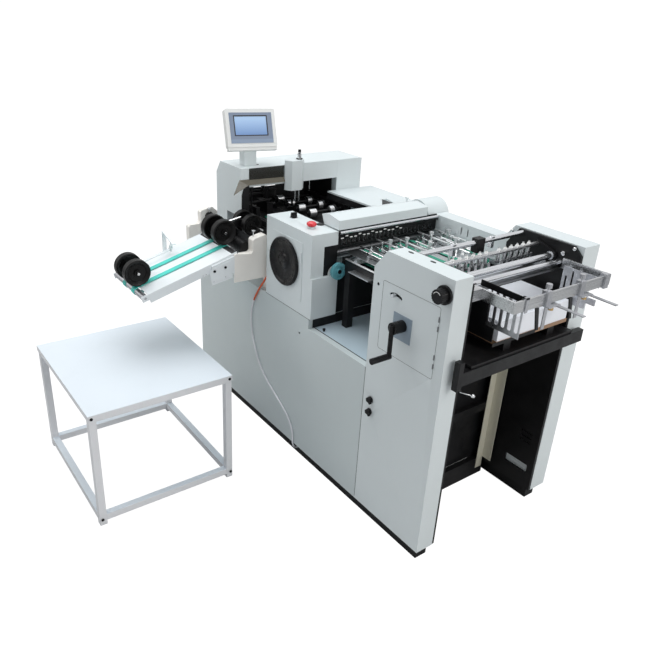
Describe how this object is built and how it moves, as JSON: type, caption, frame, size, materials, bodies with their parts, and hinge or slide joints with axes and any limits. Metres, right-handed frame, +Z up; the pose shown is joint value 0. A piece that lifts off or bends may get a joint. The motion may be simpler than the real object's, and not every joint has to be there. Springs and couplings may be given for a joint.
{
  "type": "paper folding machine",
  "caption": "Floor-standing sheet folding machine with suction feeder, register table, fold head, cross-fold gantry with swivelling screen, sloped belt delivery and a receiving table",
  "frame": {"origin": "on the floor, under the middle of the cabinet's length and of the machine's width", "axes": "+X along the machine towards the feeder (the paper runs towards -X), +Y from the operator's side to the drive side, +Z up"},
  "size_m": [2.104, 1.788, 1.5652],
  "materials": {
    "white_paint": "smooth powder coat",
    "ivory_paint": "smooth powder coat",
    "black_paint": "fine satin paint",
    "bright_steel": "ground",
    "dark_steel": "ground, oiled",
    "grey_steel": "zinc plated",
    "chrome": "polished",
    "slat_steel": "brushed along the machine",
    "black_plastic": "fine grained",
    "teal_plastic": "moulded",
    "red_plastic": "moulded",
    "paper": "pile of cut sheets on a board",
    "green_belt": "woven tape",
    "turquoise_belt": "coated belt",
    "roller_rubber": "ground",
    "fold_steel": "fluted and ground",
    "cast_white": "painted casting",
    "conveyor_steel": "satin",
    "smoked_guard": "polished",
    "screen_shell": "moulded housing and display",
    "cable_jacket": "soft jacket",
    "table_paint": "smooth powder coat"
  },
  "bodies": {
    "machine": {"base_plinth": "black_paint", "base_cabinet": "white_paint", "operator_casing": "white_paint", "crank_panel": "white_paint", "drive_casing": "white_paint", "bay_frame": "black_paint", "lift_posts": "ivory_paint", "feeder_bars": "chrome", "separator_comb": "bright_steel", "side_rail_frame": "black_paint", "register_deck": "slat_steel", "carrier_tapes": "green_belt", "hold_down_rods": "chrome", "head_box": "white_paint", "head_panel": "white_paint", "bridge_cover": "white_paint", "bridge_comb": "black_paint", "rear_covers": "white_paint", "motor_cover": "white_paint", "gantry": "white_paint", "knife_housing": "cast_white", "guard_shield": "smoked_guard", "transport_deck": "black_paint", "delivery_brackets": "cast_white", "conveyor_plate": "conveyor_steel", "conveyor_belts": "turquoise_belt", "cord": "cable_jacket", "delivery_table": "table_paint"},
    "pile_lift": {"pile_table": "black_paint", "paper_pile": "paper"},
    "lift_crank": {"crank": "black_plastic"},
    "lift_screw": {"lift_spindle": "grey_steel"},
    "feeder_dial": {"feeder_knob": "black_plastic"},
    "speed_arm": {"speed_lever": "bright_steel"},
    "upper_latch": {"latch_upper": "black_plastic"},
    "lower_latch": {"latch_lower": "black_plastic"},
    "nozzle_arm_set": {"nozzle_bar": "dark_steel"},
    "near_guide": {"guide_plate_near": "grey_steel"},
    "far_guide": {"guide_plate_far": "grey_steel"},
    "near_tail": {"tail_guide_near": "grey_steel"},
    "far_tail": {"tail_guide_far": "grey_steel"},
    "register_wheel": {"register_handwheel": "teal_plastic"},
    "fold_handwheel": {"handwheel": "black_plastic"},
    "selector": {"selector_knob": "black_plastic"},
    "stop_head": {"stop_button": "red_plastic"},
    "upper_fold": {"fold_roller_upper": "fold_steel"},
    "lower_fold": {"fold_roller_lower": "fold_steel"},
    "knife": {"knife_blade": "bright_steel"},
    "knife_adjuster": {"knife_screw": "dark_steel"},
    "shaft_1": {"wheel_shaft_1": "chrome"},
    "shaft_2": {"wheel_shaft_2": "chrome"},
    "shaft_3": {"wheel_shaft_3": "chrome"},
    "shaft_4": {"wheel_shaft_4": "chrome"},
    "near_cross": {"cross_roller_near": "roller_rubber"},
    "far_cross": {"cross_roller_far": "roller_rubber"},
    "belt_drive": {"delivery_roller": "roller_rubber"},
    "belt_tail": {"end_roller": "grey_steel"},
    "nip_inner_set": {"nip_wheels_inner": "black_plastic"},
    "nip_outer_set": {"nip_wheels_outer": "black_plastic"},
    "screen": {"screen_unit": "screen_shell"}
  },
  "joints": [
    {"name": "table_lift", "type": "slide", "parent": "machine", "child": "pile_lift", "axis": [0, 0, 1], "range_m": [-0.6, 0.06]},
    {"name": "crank_turn", "type": "hinge", "parent": "machine", "child": "lift_crank", "pos_m": [0.9065, -0.425, 0.977], "axis": [0, 1, 0], "range_deg": [-5600, 640]},
    {"name": "spindle_turn", "type": "hinge", "parent": "machine", "child": "lift_screw", "pos_m": [0.8765, -0.235, 0.5], "axis": [0, 0, 1], "range_deg": [-11200, 1280]},
    {"name": "feeder_knob_turn", "type": "hinge", "parent": "machine", "child": "feeder_dial", "pos_m": [1.0865, -0.425, 1.165], "axis": [0, 1, 0], "range_deg": [-150, 150]},
    {"name": "speed_lever_swing", "type": "hinge", "parent": "machine", "child": "speed_arm", "pos_m": [0.8555, -0.385, 1.018], "axis": [0, 1, 0], "range_deg": [-24, 24]},
    {"name": "latch_upper_turn", "type": "hinge", "parent": "machine", "child": "upper_latch", "pos_m": [0.7715, -0.41, 0.594], "axis": [0, 1, 0], "range_deg": [0, 90]},
    {"name": "latch_lower_turn", "type": "hinge", "parent": "machine", "child": "lower_latch", "pos_m": [0.7715, -0.41, 0.538], "axis": [0, 1, 0], "range_deg": [0, 90]},
    {"name": "nozzle_swing", "type": "hinge", "parent": "machine", "child": "nozzle_arm_set", "pos_m": [0.9995, -0.005, 1.164], "axis": [0, 1, 0], "range_deg": [-3, 10]},
    {"name": "near_guide_slide", "type": "slide", "parent": "machine", "child": "near_guide", "axis": [0, 1, 0], "range_m": [-0.038, 0.02]},
    {"name": "far_guide_slide", "type": "slide", "parent": "machine", "child": "far_guide", "axis": [0, 1, 0], "range_m": [-0.012, 0.011]},
    {"name": "near_tail_slide", "type": "slide", "parent": "machine", "child": "near_tail", "axis": [0, 1, 0], "range_m": [-0.03, 0.03]},
    {"name": "far_tail_slide", "type": "slide", "parent": "machine", "child": "far_tail", "axis": [0, 1, 0], "range_m": [-0.03, 0.03]},
    {"name": "register_wheel_turn", "type": "hinge", "parent": "machine", "child": "register_wheel", "pos_m": [0.3435, -0.274, 0.978], "axis": [1, 0, 0], "continuous": true},
    {"name": "handwheel_turn", "type": "hinge", "parent": "machine", "child": "fold_handwheel", "pos_m": [0.1275, -0.413, 0.977], "axis": [0, 1, 0], "continuous": true},
    {"name": "selector_turn", "type": "hinge", "parent": "machine", "child": "selector", "pos_m": [0.0685, -0.326, 1.16], "axis": [0, 0, 1], "range_deg": [-60, 60]},
    {"name": "stop_press", "type": "slide", "parent": "machine", "child": "stop_head", "axis": [0, 0, -1], "range_m": [0, 0.004], "stiffness_N_per_m": 1000, "springref_m": -0.004},
    {"name": "fold_upper_turn", "type": "hinge", "parent": "machine", "child": "upper_fold", "pos_m": [0.2715, 0.027, 1.0855], "axis": [0, 1, 0], "continuous": true},
    {"name": "fold_lower_turn", "type": "hinge", "parent": "machine", "child": "lower_fold", "pos_m": [0.2715, 0.027, 1.0345], "axis": [0, 1, 0], "continuous": true},
    {"name": "knife_stroke", "type": "slide", "parent": "machine", "child": "knife", "axis": [0, 0, -1], "range_m": [0, 0.042]},
    {"name": "knife_screw_turn", "type": "hinge", "parent": "machine", "child": "knife_adjuster", "pos_m": [-0.2615, -0.079, 1.34], "axis": [0, 0, 1], "range_deg": [-180, 180]},
    {"name": "shaft_1_turn", "type": "hinge", "parent": "machine", "child": "shaft_1", "pos_m": [-0.4685, 0.045, 1.08], "axis": [0, 1, 0], "continuous": true},
    {"name": "shaft_2_turn", "type": "hinge", "parent": "machine", "child": "shaft_2", "pos_m": [-0.3685, 0.045, 1.08], "axis": [0, 1, 0], "continuous": true},
    {"name": "shaft_3_turn", "type": "hinge", "parent": "machine", "child": "shaft_3", "pos_m": [-0.2685, 0.045, 1.08], "axis": [0, 1, 0], "continuous": true},
    {"name": "shaft_4_turn", "type": "hinge", "parent": "machine", "child": "shaft_4", "pos_m": [-0.1685, 0.045, 1.08], "axis": [0, 1, 0], "continuous": true},
    {"name": "cross_near_turn", "type": "hinge", "parent": "machine", "child": "near_cross", "pos_m": [-0.2935, -0.1305, 1.02], "axis": [1, 0, 0], "continuous": true},
    {"name": "cross_far_turn", "type": "hinge", "parent": "machine", "child": "far_cross", "pos_m": [-0.2935, -0.0855, 1.02], "axis": [1, 0, 0], "continuous": true},
    {"name": "delivery_drive_turn", "type": "hinge", "parent": "machine", "child": "belt_drive", "pos_m": [-0.2215, -0.55231, 0.97288], "axis": [1, 0, 0], "continuous": true},
    {"name": "delivery_end_turn", "type": "hinge", "parent": "machine", "child": "belt_tail", "pos_m": [-0.2215, -0.99065, 0.84718], "axis": [1, 0, 0], "continuous": true},
    {"name": "inner_nip_turn", "type": "hinge", "parent": "machine", "child": "nip_inner_set", "pos_m": [-0.2215, -0.55714, 1.05139], "axis": [1, 0, 0], "continuous": true},
    {"name": "outer_nip_turn", "type": "hinge", "parent": "machine", "child": "nip_outer_set", "pos_m": [-0.2215, -0.98202, 0.92955], "axis": [1, 0, 0], "continuous": true},
    {"name": "screen_swivel", "type": "hinge", "parent": "machine", "child": "screen", "pos_m": [-0.3425, -0.325, 1.4], "axis": [0, 0, 1], "range_deg": [-40, 40]}
  ],
  "couplings": [
    {"joint": "crank_turn", "follows": "table_lift", "rad_per_m": 157.08},
    {"joint": "spindle_turn", "follows": "table_lift", "rad_per_m": 314.16},
    {"joint": "fold_upper_turn", "follows": "fold_lower_turn", "ratio": -1},
    {"joint": "handwheel_turn", "follows": "fold_lower_turn", "ratio": 1},
    {"joint": "shaft_1_turn", "follows": "fold_lower_turn", "ratio": -1.3158},
    {"joint": "shaft_2_turn", "follows": "fold_lower_turn", "ratio": -1.3158},
    {"joint": "shaft_3_turn", "follows": "fold_lower_turn", "ratio": -1.3158},
    {"joint": "shaft_4_turn", "follows": "fold_lower_turn", "ratio": -1.3158},
    {"joint": "cross_far_turn", "follows": "cross_near_turn", "ratio": -1},
    {"joint": "delivery_end_turn", "follows": "delivery_drive_turn", "ratio": 1},
    {"joint": "inner_nip_turn", "follows": "delivery_drive_turn", "ratio": -0.29661},
    {"joint": "outer_nip_turn", "follows": "delivery_drive_turn", "ratio": -0.29661}
  ]
}
